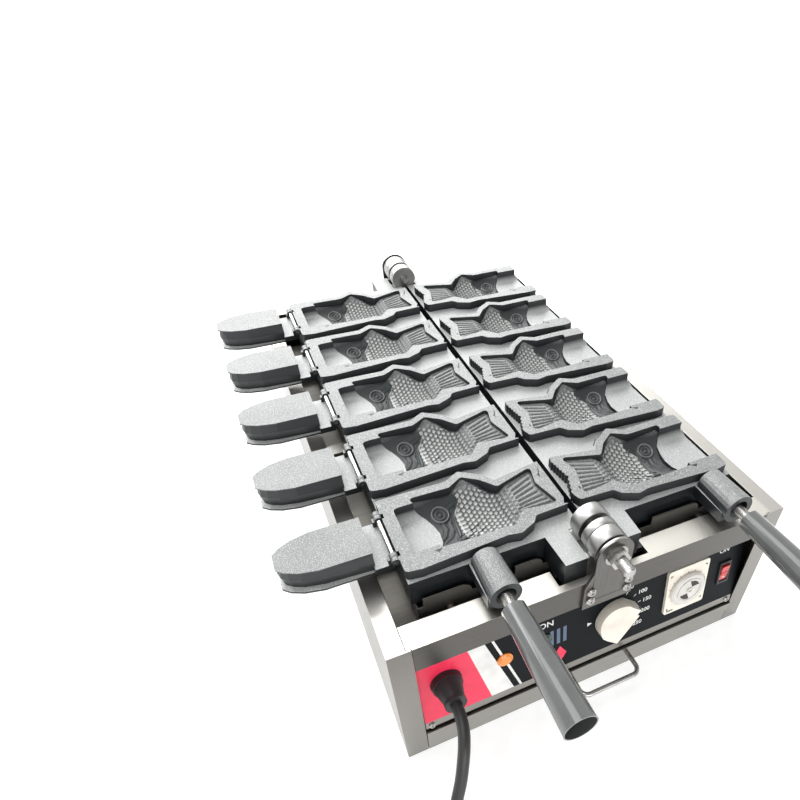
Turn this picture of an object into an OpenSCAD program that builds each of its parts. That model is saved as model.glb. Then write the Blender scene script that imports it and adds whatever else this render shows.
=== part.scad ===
// Countertop waffle cooker: two fish-shaped mould plates share one hinge line over a
// stainless heater base, and each plate can be folded over the other.
// Millimetres. Origin: middle of the base's underside. X across, Y to the back, Z up.

/* [Base] */
// Width over the side panels
base_w = 380; // [360:1:400]
// Distance from a mould's end to the outside of the front or rear panel
end_gap = 44; // [44:0.5:50]
// Height of the side panels
base_h = 167; // [165:0.5:170]
// Thickness of the sheet steel
sheet = 1.2; // [0.8:0.1:1.5]
// Width of each folded front corner
corner_w = 19.5; // [15:0.5:22]
// Width of the top flange along the sides
side_flange = 15.5; // [12:0.5:18]
// Depth of the top flange at front and back
rail_flange = 23.4; // [20:0.2:26]
// Height of the front rail's face
rail_h = 30.5; // [24:0.5:32]
// Half width of the cut-outs that the mould lugs dip into
lug_gap = 43.5; // [42:0.5:50]

/* [Moulds] */
// Distance from one fish to the next
pitch = 98; // [96:0.5:100]
// Number of fish in a row
fish_n = 5; // [1:1:5]
// Height of the hinge line above the top of the base
hinge_up = 29; // [29:0.5:33]
// Length of a mould away from the hinge line
plate_w = 154; // [150:1:156]
// Length of a mould along the hinge line
plate_l = 496; // [490:1:500]
// Height of the raised rim above the web
rim_h = 9.85; // [6:0.05:12]
// Thickness of a mould below the web
web_t = 26; // [22:1:28]
// Depth of the fish body at its middle
body_depth = 20; // [16:0.5:22]
// Depth of the tail
tail_depth = 6; // [4:0.5:8]
// Depth of the mouth end
mouth_depth = 14; // [13:0.5:15]

/* [Hinges] */
// Radius of the knuckles
knuckle_r = 16; // [14:0.5:17]
// Radius of the hinge pins
pin_r = 5; // [4:0.25:6]
// Running clearance of every pin in its bore
run = 0.05; // [0.02:0.01:0.1]
// Thickness of the hinge brackets
bracket_t = 3; // [2:0.5:4]

/* [Handles] */
// Distance of the left handle from the hinge line
left_handle_x = 93; // [85:1:100]
// Distance of the right handle from the hinge line
right_handle_x = 131; // [125:1:136]
// Length of a grip
grip_l = 100; // [80:1:120]
// Radius of a grip at its open end
grip_r = 13; // [12:0.5:15]

/* [Mouth cores] */
// Radius of a core's hinge pin
core_pin_r = 2; // [1.5:0.1:2.5]
// Distance of the core hinges from the hinge line
core_x = 159.6; // [159.4:0.1:161]
// Half width of a core's neck
neck_w = 24.7; // [22:0.1:25]

/* [Control panel] */
// Angle at which the panel leans back
lean = 7.5; // [5:0.5:10]
// Height of the panel's lower edge
panel_z = 37; // [36.5:0.5:40]
// Height of the panel along its slope
panel_h = 104; // [98:1:106]
// Turning direction of the thermostat's wing at rest
knob_turn = 50; // [0:5:180]

/* [Crumb tray] */
// Height of the tray's front
tray_h = 14.7; // [12:0.1:15]
// Diameter of the wire handle's rod
wire_d = 5; // [4:0.5:6]

/* [Power cord] */
// Diameter of the cord
cord_d = 10; // [9:0.5:10]
// Radius of the coil's innermost turn, to the middle of the cord
coil_r = 49; // [48:1:55]
// Turns in each of the coil's two layers
coil_turns = 2; // [1:1:3]

/* [Hidden] */
$fn = 64;
bw = base_w / 2;
bd = plate_l / 2 + end_gap;
hinge_z = base_h + hinge_up;
web_z = hinge_z - 0.15 - rim_h;
rim_z = hinge_z - 0.15;
under_z = web_z - web_t;
plate_x = 2.5;
plate_end = plate_x + plate_w;
row_y = -2.475 * pitch;
floor_r = 250;
bowl_r = 60;
knuckle_clear = knuckle_r + 0.3;
core_z = hinge_z - 2.1;
core_mid = 0.425 * pitch;
rail_z = base_h - rail_h;
front = -plate_l / 2;
span = bw - corner_w - 0.5;
screw_x = span - 6;
gland_x = -span + 24.5;
gland_w = 55;
dial_x = 102.5;
dial_w = 53;
knob_x = 23;
knob_w = 50;
switch_x = 150.5;
switch_w = 50;
lamp_r = 7.5;
tray_x = plate_w;
tray_y = plate_l / 2 + 6;
tray_floor = base_h - 31;
tray_top = under_z - 0.3;
heater_z = base_h - 19;
heater_r = 4;
heater_step = 32;
heater_first = 30;
heater_last = heater_first + 3 * heater_step;
heater_mid = heater_first + 1.5 * heater_step;
handle_z = hinge_z - 8.5;
stud_r = 4.5;
grip_front = -bd - 11;
lug_end = -bd + 10;
lift = 0.02;
spindle_r = 3;
bracket_rows = [base_h - 21, base_h - 9.5];
cord_gap = cord_d + 0.6;
tail_l = 62;
plug_r = 15.4;

steel = [0.78, 0.77, 0.75];
cast = [0.2, 0.2, 0.2];
black = [0.09, 0.09, 0.1];
beige = [0.85, 0.8, 0.72];

// Shared shapes

module box(x0, x1, y0, y1, z0, z1) {
  translate([x0, y0, z0]) cube([x1 - x0, y1 - y0, z1 - z0]);
}

module rod_y(x, z, y0, y1, r) {
  translate([x, y1, z]) rotate([90, 0, 0]) cylinder(h = y1 - y0, r = r);
}

module cone_y(x, z, y0, y1, r0, r1) {
  translate([x, y1, z]) rotate([90, 0, 0]) cylinder(h = y1 - y0, r1 = r1, r2 = r0);
}

module both_ends() {
  children();
  mirror([0, 1, 0]) children();
}

// Local z is the panel's outward normal and local y runs up its slope.
module on_panel(x, w, h = 0) {
  translate([x, -bd + 0.5 + w * sin(lean), panel_z + w * cos(lean)])
    rotate([90 - lean, 0, 0])
      translate([0, 0, h])
        children();
}

function unit(v) = v / norm(v);

// An outline with every corner rounded to radius r, or less on a short side.
function rounded(pts, r, steps) = [
  for (i = [0 : len(pts) - 1])
    let (
      n = len(pts),
      p = pts[i],
      a = pts[(i + n - 1) % n] - p,
      b = pts[(i + 1) % n] - p,
      half = acos(unit(a) * unit(b)) / 2,
      reach = min(r / tan(half), norm(a) * 0.45, norm(b) * 0.45),
      rr = reach * tan(half),
      c = p + unit(unit(a) + unit(b)) * (rr / sin(half)),
      p0 = p + unit(a) * reach - c,
      p1 = p + unit(b) * reach - c,
      sweep = 180 - 2 * half,
      turn = p0[0] * p1[1] - p0[1] * p1[0] > 0 ? 1 : -1
    )
    for (k = [0 : steps])
      let (t = turn * sweep * k / steps)
      c + [p0[0] * cos(t) - p0[1] * sin(t), p0[0] * sin(t) + p0[1] * cos(t)]
];

// A tube through the points, with its sides turned against a fixed direction.
module tube(pts, r, sides, ref) {
  n = len(pts);
  ring = [
    for (i = [0 : n - 1])
      let (
        t = unit(pts[min(i + 1, n - 1)] - pts[max(i - 1, 0)]),
        u = unit(cross(ref, t)),
        v = cross(t, u)
      )
      for (k = [0 : sides - 1])
        let (a = 360 * k / sides)
        pts[i] + r * (cos(a) * u + sin(a) * v)
  ];
  skin = [
    for (i = [0 : n - 2])
      for (k = [0 : sides - 1])
        let (a = i * sides + k, b = i * sides + (k + 1) % sides)
        each [[a, a + sides, b], [b, a + sides, b + sides]]
  ];
  caps = [
    for (k = [1 : sides - 2])
      each [[0, k, k + 1], [(n - 1) * sides, (n - 1) * sides + k + 1, (n - 1) * sides + k]]
  ];
  polyhedron(points = ring, faces = concat(skin, caps));
}

// Base

module base_pan() {
  color(steel) difference() {
    union() {
      box(-bw + 2, bw - 2, -bd + sheet, bd - sheet - 0.2, 0, 1.5);
      box(-bw + corner_w + 0.5, bw - corner_w - 0.5, -bd, -bd + sheet, 0, 18.8);
      box(-bw + 2, -bw + 2 + sheet, -bd + 4, bd - 4, 0, 22);
      box(bw - 2 - sheet, bw - 2, -bd + 4, bd - 4, 0, 22);
    }
    for (x = [-120 : 30 : 120])
      for (y = [-60, 60])
        box(x - 3, x + 3, y - 40, y + 40, -1, 3);
  }
}

module side_panel() {
  box(bw - sheet, bw, -bd, bd, 0, base_h);
  box(bw - corner_w, bw, -bd, -bd + sheet, 0, base_h);
  box(bw - corner_w, bw, bd - sheet, bd, 0, base_h);
  box(bw - side_flange, bw, -bd, bd, base_h - sheet, base_h);
  box(bw - side_flange, bw - side_flange + sheet, -bd + rail_flange + 1, bd - rail_flange - 1,
    base_h - 12, base_h);
}

module left_side_panel() {
  color(steel) mirror([1, 0, 0]) side_panel();
}

module right_side_panel() {
  color(steel) side_panel();
}

// The folded top edge that the front rail and the rear panel share.
module rail_top() {
  difference() {
    union() {
      box(-bw + corner_w + 0.3, bw - corner_w - 0.3, -bd, -bd + rail_flange, base_h - sheet, base_h);
      box(-bw + side_flange + 0.3, bw - side_flange - 0.3, -bd + rail_flange - sheet,
        -bd + rail_flange, base_h - 12, base_h);
      box(-bw + side_flange + 0.3, bw - side_flange - 0.3, -bd + sheet + 0.3, -bd + rail_flange,
        base_h - sheet, base_h);
    }
    box(-lug_gap, lug_gap, -bd + 7, -bd + rail_flange + 1, base_h - 20, base_h + 1);
  }
}

module front_rail() {
  color(steel) difference() {
    union() {
      rail_top();
      box(-bw + corner_w + 0.3, bw - corner_w - 0.3, -bd, -bd + sheet, rail_z, base_h);
    }
    bracket_holes(2.3);
  }
}

module rear_panel() {
  color(steel) difference() {
    union() {
      mirror([0, 1, 0]) rail_top();
      box(-bw + corner_w + 0.3, bw - corner_w - 0.3, bd - sheet, bd, 0, base_h);
    }
    mirror([0, 1, 0]) bracket_holes(2.3);
    for (x = [-130 : 20 : 130])
      box(x - 2.5, x + 2.5, bd - 3, bd + 1, base_h - 127, base_h - 72);
  }
}

module bracket_holes(r) {
  for (x = [-18, 18])
    for (z = bracket_rows)
      rod_y(x, z, -bd - 10, -bd + 10, r);
}

module hinge_bracket() {
  wide = 24.5;
  narrow = 17;
  difference() {
    translate([0, -bd, 0]) rotate([90, 0, 0]) linear_extrude(bracket_t) {
      translate([0, hinge_z]) circle(narrow);
      polygon([[-wide, base_h - 32], [wide, base_h - 32], [wide, base_h - 4],
        [narrow, hinge_z - 17], [narrow, hinge_z], [-narrow, hinge_z], [-narrow, hinge_z - 17],
        [-wide, base_h - 4]]);
    }
    rod_y(0, hinge_z, -bd - 10, -bd + 10, pin_r + run);
    bracket_holes(2.3);
  }
}

module front_hinge_bracket() {
  color(steel) hinge_bracket();
}

module rear_hinge_bracket() {
  color(steel) mirror([0, 1, 0]) hinge_bracket();
}

// Pan-head screw along z, seated on z = 0, with a cross recess.
module cross_screw(head_r, head_h, shank_r, shank_l) {
  difference() {
    union() {
      cylinder(h = head_h * 0.5, r = head_r);
      translate([0, 0, head_h * 0.5]) cylinder(h = head_h * 0.5, r1 = head_r, r2 = head_r * 0.72);
      translate([0, 0, -shank_l]) cylinder(h = shank_l + 0.1, r = shank_r);
    }
    for (a = [0, 90])
      rotate([0, 0, a + 20])
        translate([-head_r * 0.55, -0.45, head_h - 1.3])
          cube([head_r * 1.1, 0.9, 2]);
  }
}

module bracket_screws() {
  color(steel) both_ends()
    for (x = [-18, 18])
      for (z = bracket_rows)
        translate([x, -bd - bracket_t, z]) rotate([90, 0, 0]) cross_screw(4.2, 2.8, 2.2, 8);
}

module hinge_pin() {
  rod_y(0, hinge_z, -bd - 23.6, -bd + 47.1, pin_r);
  cone_y(0, hinge_z, -bd - 24.6, -bd - 23.6, pin_r - 1, pin_r);
}

module front_hinge_pin() {
  color(steel) hinge_pin();
}

module rear_hinge_pin() {
  color(steel) mirror([0, 1, 0]) hinge_pin();
}

module hex(across, height) {
  intersection_for (a = [0, 60, 120])
    rotate([0, 0, a]) translate([-across, -across / 2, 0]) cube([2 * across, across, height]);
}

module hinge_nuts() {
  color(steel) both_ends() difference() {
    union() {
      translate([0, -bd - bracket_t - 1.5, hinge_z]) rotate([90, 0, 0]) hex(16, 6.5);
      rod_y(0, hinge_z, -bd - bracket_t - 1.5, -bd - bracket_t, 10.5);
    }
    rod_y(0, hinge_z, -bd - 20, -bd + 10, pin_r + run);
  }
}

module hinge_washers() {
  color(black) both_ends() difference() {
    rod_y(0, hinge_z, -bd, -bd + 2.4, 13.5);
    rod_y(0, hinge_z, -bd - 1, -bd + 4, pin_r + run);
  }
}

// Control panel and what it carries

module control_panel() {
  color(black) difference() {
    union() {
      on_panel(-span, 0, -sheet) cube([2 * span, panel_h, sheet]);
      on_panel(-span, 0, -14) cube([2 * span, sheet, 14]);
    }
    on_panel(knob_x, knob_w, -5) cylinder(h = 10, r = 5);
    on_panel(dial_x, dial_w, -5) translate([-21.2, -21.2, 0]) cube([42.4, 42.4, 10]);
    on_panel(switch_x, switch_w, -5) translate([-6.2, -12.7, 0]) cube([12.4, 25.4, 10]);
    on_panel(-91, 52.4, -5) cylinder(h = 10, r = lamp_r - 1.4);
    on_panel(-52, 56, -5) cylinder(h = 10, r = lamp_r - 1.4);
    on_panel(gland_x, gland_w, -5) cylinder(h = 10, r = 10.1);
    for (x = [-screw_x, screw_x])
      on_panel(x, 3.6, -15) cylinder(h = 20, r = 1.7);
  }
}

module panel_brackets() {
  wide = 33;
  outer = bw - sheet - 0.3;
  color(steel) for (side = [0, 1])
    mirror([side, 0, 0]) difference() {
      on_panel(outer - wide, 2, -sheet - 1.5 - lift) cube([wide, panel_h - 2, 1.5]);
      on_panel(screw_x, 3.6, -15) cylinder(h = 20, r = 1.55);
      if (side == 0)
        on_panel(switch_x, switch_w, -10) translate([-8, -15, 0]) cube([16, 30, 12]);
      else
        on_panel(-gland_x, gland_w, -5) cylinder(h = 10, r = 17);
    }
}

module panel_screws() {
  color(steel) for (x = [-screw_x, screw_x])
    on_panel(x, 3.6, lift) cross_screw(3.1, 2, 1.5, 6);
}

module thermostat_body() {
  color(steel) difference() {
    union() {
      on_panel(knob_x, knob_w, -24) translate([-17, -17, 0]) cube([34, 34, 24 - sheet - lift]);
      on_panel(knob_x, knob_w, -30) cylinder(h = 7, r = 12);
    }
    on_panel(knob_x, knob_w, -20) cylinder(h = 40, r = spindle_r + run);
  }
}

// Round knob with one side cut away to a straight grip, its back sloping off to the rim.
module thermostat_knob() {
  r = 22.5;
  flat = -10;
  top = 14;
  color(beige) on_panel(knob_x, knob_w) rotate([0, 0, knob_turn]) {
    difference() {
      intersection() {
        translate([0, 0, 0.5]) cylinder(h = top, r = r);
        translate([-r + 2, 0, 0]) rotate([90, 0, 90]) linear_extrude(2 * r - 4)
          polygon([[flat, 0.4], [flat, top], [4, top], [r + 1, top - 4.5], [r + 1, 0.4]]);
      }
      translate([r - 8, flat - 1, top - 5]) cube([10, 4.5, 6]);
    }
    translate([0, 0, -16]) cylinder(h = 17, r = spindle_r);
  }
}

module timer_housing() {
  color(beige) on_panel(dial_x, dial_w, lift) difference() {
    union() {
      linear_extrude(3) polygon(rounded([[-24, -29], [24, -29], [24, 29], [-24, 29]], 3, 3));
      translate([-21, -21, -46]) cube([42, 42, 47]);
    }
    translate([0, 0, -20]) cylinder(h = 30, r = spindle_r + run);
  }
}

module timer_dial() {
  color(black) on_panel(dial_x, dial_w) {
    translate([0, 0, 3.4]) cylinder(h = 2.6, r = 20);
    translate([0, 0, 6]) cylinder(h = 1.5, r1 = 20, r2 = 18.4);
    translate([0, 0, -16]) cylinder(h = 20, r = spindle_r);
  }
}

module switch_housing() {
  color(black) on_panel(switch_x, switch_w, lift) difference() {
    union() {
      translate([-7, -14.5, 0]) cube([14, 29, 1.8]);
      translate([-6, -12.5, -22]) cube([12, 25, 23]);
    }
    translate([-4.9, -11.4, -9]) cube([9.8, 22.8, 20]);
  }
}

// The rocker turns about its middle. Its face is two flats that meet at the middle.
module switch_rocker() {
  color([0.75, 0.1, 0.08]) on_panel(switch_x, switch_w, -1) rotate([90, 0, 90]) {
    translate([0, 0, -4.5]) linear_extrude(9)
      polygon([[-10, 2.2], [-9.4, -3], [9.4, -3], [10, 4.8], [0, 3]]);
    translate([0, 0, -4.8]) cylinder(h = 9.6, r = 1.5);
    translate([0, 0, -4]) cylinder(h = 8, r = 3.8);
  }
}

module lamp(x, w) {
  on_panel(x, w, lift) {
    cylinder(h = 1.2, r = lamp_r);
    translate([0, 0, 1.2]) cylinder(h = 1.2, r1 = lamp_r - 0.7, r2 = lamp_r - 2.3);
    translate([0, 0, -16]) cylinder(h = 17, r = lamp_r - 1.5);
  }
}

module ready_lamp() {
  color([0.95, 0.45, 0.1]) lamp(-91, 52.4);
}

module power_lamp() {
  color([0.2, 0.7, 0.3]) lamp(-52, 56);
}

// Heater well

module heater_tray() {
  color(steel) difference() {
    union() {
      box(-tray_x, tray_x, -tray_y, tray_y, tray_floor, tray_floor + sheet);
      for (s = [-1, 1])
        box(s > 0 ? tray_x - sheet : -tray_x, s > 0 ? tray_x : -tray_x + sheet, -tray_y, tray_y,
          tray_floor, tray_top);
      both_ends() box(-tray_x, tray_x, -tray_y, -tray_y + sheet, tray_floor, tray_top);
      translate([0, -tray_y + sheet, 0]) rotate([90, 0, 0]) linear_extrude(sheet) {
        tab(-148.5, -107);
        tab(-68, -42);
        tab(69, 122);
      }
    }
    for (x = [-heater_last, -heater_first, heater_first, heater_last])
      rod_y(x, heater_z, -tray_y - 1, -tray_y + 3, heater_r + 0.2);
  }
}

module tab(x0, x1) {
  r = 8;
  high = base_h + 2.5;
  polygon([[x0, tray_top - 5], [x0, high], each round_top(x1 - r, high - r, r),
    [x1, tray_top - 5]]);
}

function round_top(x, z, r) = [for (a = [90 : -15 : 0]) [x + r * cos(a), z + r * sin(a)]];

module cross_bars() {
  color(steel) for (y = [-tray_y + 84, 0, tray_y - 84])
    difference() {
      box(-bw + sheet, bw - sheet, y - 8, y + 8, tray_floor - 10, tray_floor);
      box(-bw, bw, y - 8 + sheet, y + 9, tray_floor - 11, tray_floor - sheet);
    }
}

module heat_shield() {
  color(steel) box(-bw + 3, bw - 3, -tray_y, tray_y, tray_floor - 10.8, tray_floor - 10);
}

module heater_rests() {
  color(steel) difference() {
    for (side = [-1, 1])
      for (y = [-120, 120]) {
        mid = side * heater_mid;
        box(mid - 62, mid + 62, y - 6, y + 6, heater_z - heater_r - 1, heater_z - 3);
        for (x = [mid - 45, mid + 45])
          box(x - 4, x + 4, y - 6, y + 6, tray_floor + sheet, heater_z - 4.5);
      }
    for (x = [heater_first : heater_step : heater_last])
      for (s = [-1, 1])
        rod_y(s * x, heater_z, -140, 140, heater_r + 0.02);
  }
}

// One tube folded into four runs, with both ends through the tray's front wall.
module heater() {
  bend = heater_step / 2;
  far = tray_y - 64;
  near = 54 - tray_y;
  for (x = [heater_first, heater_last]) {
    rod_y(x, heater_z, -tray_y - 9, far, heater_r);
    rod_y(x, heater_z, -tray_y - 16, -tray_y - 8, 1.5);
  }
  for (x = [heater_mid - bend, heater_mid + bend])
    rod_y(x, heater_z, near, far, heater_r);
  for (x = [heater_first + bend, heater_last - bend])
    translate([x, far, heater_z]) rotate_extrude(angle = 180) translate([bend, 0]) circle(heater_r);
  translate([heater_mid, near, heater_z]) rotate([0, 0, 180])
    rotate_extrude(angle = 180) translate([bend, 0]) circle(heater_r);
}

module left_heater() {
  color(steel) mirror([1, 0, 0]) heater();
}

module right_heater() {
  color(steel) heater();
}

// Moulds. Both are drawn on the +X side in cell coordinates: x from the hinge line and
// y from the near edge of the cell, head away from the hinge.

fish_outline = [
  [15.7, 69.8], [20.5, 49], [13.2, 21.1], [18.6, 19.1], [45.1, 23.3], [57.8, 9.3], [64.7, 10.6],
  [92.1, 10.3], [125, 11.8], [145.2, 15.2], [145.2, 67.6], [128.6, 69.4], [128.6, 74.9],
  [93.1, 74], [78.4, 82.4], [64.4, 72.2], [53.4, 58.2]
];
function rim_outline(end) = [
  [3, 21.3], [5.7, 13.7], [37.9, 12.4], [42.9, 5.8], [57.3, -0.7], [68.3, 1.6], [143.2, -3],
  [end, -1], [end, 83.3], [127.4, 83.3], [93.1, 82.3], [78.4, 90.7], [60.8, 78.4],
  [52.9, 66.6], [6, 74.5], [6, 71.1], [10.5, 43.9]
];

module cells() {
  for (k = [0 : fish_n - 1])
    translate([0, row_y + k * pitch, 0]) children();
}

// A ring-shaped solid whose outer side gives the body a floor bowed both ways.
module bowed_floor() {
  translate([92, 42, hinge_z - body_depth + floor_r]) rotate([90, 0, 0])
    rotate_extrude($fn = 128) translate([floor_r - bowl_r, 0]) circle(bowl_r);
}

// Plan of the raised ledge that the mouth core's neck crosses, curved towards the head.
lip = [
  [124, -1], [121, 17], [116, 28], [115, 38], [117, 49], [121, 60], [128.6, 70], [128.6, 91],
  [170, 91], [170, -1]
];

module ledge_plan() {
  translate([0, 0, hinge_z - 40]) linear_extrude(60) polygon(rounded(lip, 6, 3));
}

// Cross-section of the mouth end along x: a flat floor with a wide fillet on its far side.
module mouth_profile(x0, x1) {
  near_r = 4;
  far_r = 9;
  low = core_mid - neck_w - 2;
  high = core_mid + neck_w + 2;
  floor_z = hinge_z - mouth_depth;
  translate([x0, 0, 0]) rotate([90, 0, 90]) linear_extrude(x1 - x0) {
    translate([low + near_r, floor_z]) square([high - low - near_r - far_r, 30]);
    translate([low, floor_z + near_r]) square([high - low - far_r, 30]);
    translate([low + near_r, floor_z + far_r]) square([high - low - near_r, 30]);
    translate([low + near_r, floor_z + near_r]) circle(near_r);
    translate([high - far_r, floor_z + far_r]) circle(far_r);
  }
}

module fish_cavity() {
  intersection() {
    translate([0, 0, hinge_z - 30]) linear_extrude(40) polygon(rounded(fish_outline, 3, 3));
    union() {
      difference() {
        intersection() {
          bowed_floor();
          box(46, 128.6, 0, 90, hinge_z - 30, hinge_z + 8);
        }
        ledge_plan();
      }
      box(0, 60, 0, 90, hinge_z - tail_depth, hinge_z + 8);
      intersection() {
        ledge_plan();
        mouth_profile(110, 150);
      }
    }
  }
}

module plate(rim_end) {
  difference() {
    union() {
      box(plate_x, plate_end, front, -front, under_z, web_z);
      cells() translate([0, 0, web_z - 1]) linear_extrude(rim_z - web_z + 1)
        polygon(rounded(rim_outline(rim_end), 3, 2));
    }
    cells() fish_cavity();
    cells() box(14, 145, 8, 76, under_z - 1, under_z + 7);
  }
}

// Arm that carries the knuckles. It stops at the other mould's knuckle clearance.
module lug(x1, y_end) {
  translate([0, 0, under_z]) linear_extrude(web_t)
    polygon([[knuckle_clear, front + 4], [knuckle_clear, y_end], [x1 - 1.5, y_end], [x1, front + 4]]);
}

// Barrel on the hinge line with a foot that stands on its own mould's arm.
module knuckle(y0, y1) {
  difference() {
    union() {
      rod_y(0, hinge_z, y0, y1, knuckle_r);
      box(0, knuckle_clear, max(y0, lug_end), y1, under_z, web_z);
    }
    rod_y(0, hinge_z, y0 - 1, y1 + 1, pin_r + run);
  }
}

// Round-topped boss in front of the mould, with a recessed face round the handle stud.
module handle_boss(x, r) {
  y0 = -bd + 2;
  difference() {
    union() {
      cone_y(x, handle_z, y0, front - 0.6, r, r - 1.5);
      box(x - r, x + r, y0 + 4, front + 3, hinge_z - 22, handle_z - 2);
    }
    box(x - r - 1, x + r + 1, front - 0.6, front + 4, web_z, hinge_z);
    rod_y(x, handle_z, y0 - 1, -bd + 30, stud_r + run);
    rod_y(x, handle_z, y0 - 1, y0 + 6, r * 0.63);
  }
}

module left_mould() {
  color(cast) difference() {
    union() {
      mirror([1, 0, 0]) {
        plate(plate_end);
        both_ends() lug(38.5, lug_end);
        handle_boss(left_handle_x, 13.5);
      }
      cells() translate([0, core_mid, 0]) core_lugs();
    }
    cells() translate([0, core_mid, 0]) {
      for (s = [0, 1])
        mirror([0, s, 0]) rod_y(-core_x, core_z, neck_w - 5.1, neck_w + 0.4, 5.5);
      rod_y(-core_x, core_z, -neck_w - 5, neck_w + 5, core_pin_r + run);
    }
  }
}

module core_lugs() {
  y0 = neck_w + 0.4;
  for (s = [0, 1])
    mirror([0, s, 0]) {
      rod_y(-core_x, core_z, y0, y0 + 3.9, 3.4);
      box(-core_x, -plate_end + 1, y0, y0 + 3.9, core_z - 3.4, rim_z);
    }
}

// Both barrels of the left mould's hinge end, which stand on either side of the right one's.
module left_knuckles() {
  color(steel) both_ends() mirror([1, 0, 0]) {
    knuckle(-bd + 30, front - 0.3);
    knuckle(-bd + 2.7, -bd + 16.7);
  }
}

module right_mould() {
  color(cast) {
    difference() {
      plate(plate_end - 2.5);
      cells() mouth_profile(136, 170);
    }
    both_ends() lug(40, -bd + 16);
    handle_boss(right_handle_x, 14.5);
  }
}

module right_knuckles() {
  color(steel) both_ends() knuckle(-bd + 17.1, -bd + 25.1);
}

module handle_stud(x) {
  rod_y(x, handle_z, grip_front - 27, -bd + 30, stud_r);
}

module left_handle_stud() {
  color(steel) handle_stud(-left_handle_x);
}

module right_handle_stud() {
  color(steel) handle_stud(right_handle_x);
}

// Tapered thin-walled tube with a solid end round the stud.
module grip(x) {
  open = grip_front - grip_l;
  difference() {
    cone_y(x, handle_z, open, grip_front, grip_r, grip_r - 3);
    rod_y(x, handle_z, grip_front - 29, grip_front + 3, stud_r + run);
    cone_y(x, handle_z, open - 1, grip_front - 31, grip_r - 1, grip_r - 3.2);
  }
}

module left_grip() {
  color(black) grip(-left_handle_x);
}

module right_grip() {
  color(black) grip(right_handle_x);
}

module core_pins() {
  reach = neck_w + 4.3;
  color(steel) cells() translate([0, core_mid, 0]) rod_y(-core_x, core_z, -reach, reach, core_pin_r);
}

// Mouth core at rest, folded out of the mould: flat top, two bevels, rounded tip.
module mouth_core(k) {
  root = -174.6;
  seam = core_z - 2.1;
  half_t = 12.2;
  edge = [[root, 21], [-214, 18.6], [-229, 15.4], [-238, 11], [-243.2, 6], [-245, 0]];
  bevel = 11.6;
  color(cast) translate([0, row_y + k * pitch + core_mid, 0]) difference() {
    union() {
      difference() {
        translate([-245, -21, seam - half_t]) cube([245 + root, 42, 2 * half_t]);
        for (side = [0, 1], up = [0, 1], i = [0 : len(edge) - 2])
          mirror([0, side, 0]) translate([edge[i][0], edge[i][1], seam]) mirror([0, 0, up])
            rotate([0, 0, atan2(edge[i + 1][1] - edge[i][1], edge[i + 1][0] - edge[i][0])])
              rotate([bevel, 0, 0]) translate([-40, -40, -10]) cube([120, 40, 60]);
      }
      box(root - 1, -core_x - 1.4, -neck_w, neck_w, core_z - 11.9, core_z - 5.9);
      for (s = [0, 1])
        mirror([0, s, 0]) {
          rod_y(-core_x, core_z, neck_w - 4.7, neck_w, 3.4);
          box(-core_x - 5, -core_x - 0.5, neck_w - 4.7, neck_w, core_z - 10, core_z);
        }
    }
    rod_y(-core_x, core_z, -30, 30, core_pin_r + run);
  }
}

module mouth_core_1() {
  mouth_core(0);
}

module mouth_core_2() {
  mouth_core(1);
}

module mouth_core_3() {
  mouth_core(2);
}

module mouth_core_4() {
  mouth_core(3);
}

module mouth_core_5() {
  mouth_core(4);
}

// Crumb tray

module crumb_tray() {
  y0 = -bd - 1;
  z0 = 19.3;
  color(steel) {
    box(-span, span, y0, y0 + 1, z0, z0 + tray_h);
    difference() {
      box(-span, span, y0 - 1.2, y0 + 2.2, z0 + tray_h - 3, z0 + tray_h);
      box(-span - 1, span + 1, y0 + 1, y0 + 1.4, z0, z0 + tray_h - 0.8);
    }
    difference() {
      box(-span + 5, span - 5, y0, bd - 30, z0 + 0.6, z0 + tray_h - 3);
      box(-span + 6, span - 6, y0 + 1, bd - 31, z0 + 1.6, z0 + tray_h);
    }
  }
}

module tray_handle() {
  r = wire_d / 2;
  bend = 8;
  y_face = -bd - 1;
  y_bar = -bd - 27;
  color(steel) {
    for (x = [-27 + r, 42 - r])
      rod_y(x, 27, y_bar + bend, y_face, r);
    translate([-27 + r + bend, y_bar, 27]) rotate([0, 90, 0]) cylinder(h = 69 - wire_d - 2 * bend, r = r);
    translate([-27 + r + bend, y_bar + bend, 27]) rotate([0, 0, 180])
      rotate_extrude(angle = 90) translate([bend, 0]) circle(r);
    translate([42 - r - bend, y_bar + bend, 27]) rotate([0, 0, 270])
      rotate_extrude(angle = 90) translate([bend, 0]) circle(r);
  }
}

module tray_runners() {
  color(steel) for (s = [-1, 1])
    mirror([s < 0 ? 1 : 0, 0, 0]) {
      box(150, bw - 2 - sheet, -bd + 20, bd - 32, 18.4, 19.6);
      box(150, 151.2, -bd + 20, bd - 32, 1.5, 19.6);
    }
}

module terminal_block() {
  color(black) difference() {
    box(-bw + sheet, -bw + sheet + 22, -240, -190, 70, 92);
    for (y = [-230, -215, -200])
      translate([-bw + 16, y, 80]) cylinder(h = 20, r = 3);
  }
}

// Power cord

module cable_gland() {
  color(black) on_panel(gland_x, gland_w, lift) difference() {
    union() {
      cylinder(h = 2, r = 14);
      translate([0, 0, -12]) cylinder(h = 13, r = 10);
      translate([0, 0, -sheet - 5.1]) hex(26, 5);
    }
    translate([0, 0, -14]) cylinder(h = 20, r = 6);
  }
}

module strain_relief() {
  color(black) on_panel(gland_x, gland_w, lift) difference() {
    union() {
      translate([0, 0, 2]) cylinder(h = 4, r = 13.5);
      translate([0, 0, 6]) cylinder(h = 17, r1 = 12.6, r2 = 8.6);
      translate([0, 0, 22]) cylinder(h = 3, r = 9.6);
    }
    translate([0, 0, 1]) cylinder(h = 30, r = cord_d / 2 + 0.05);
  }
}

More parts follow.
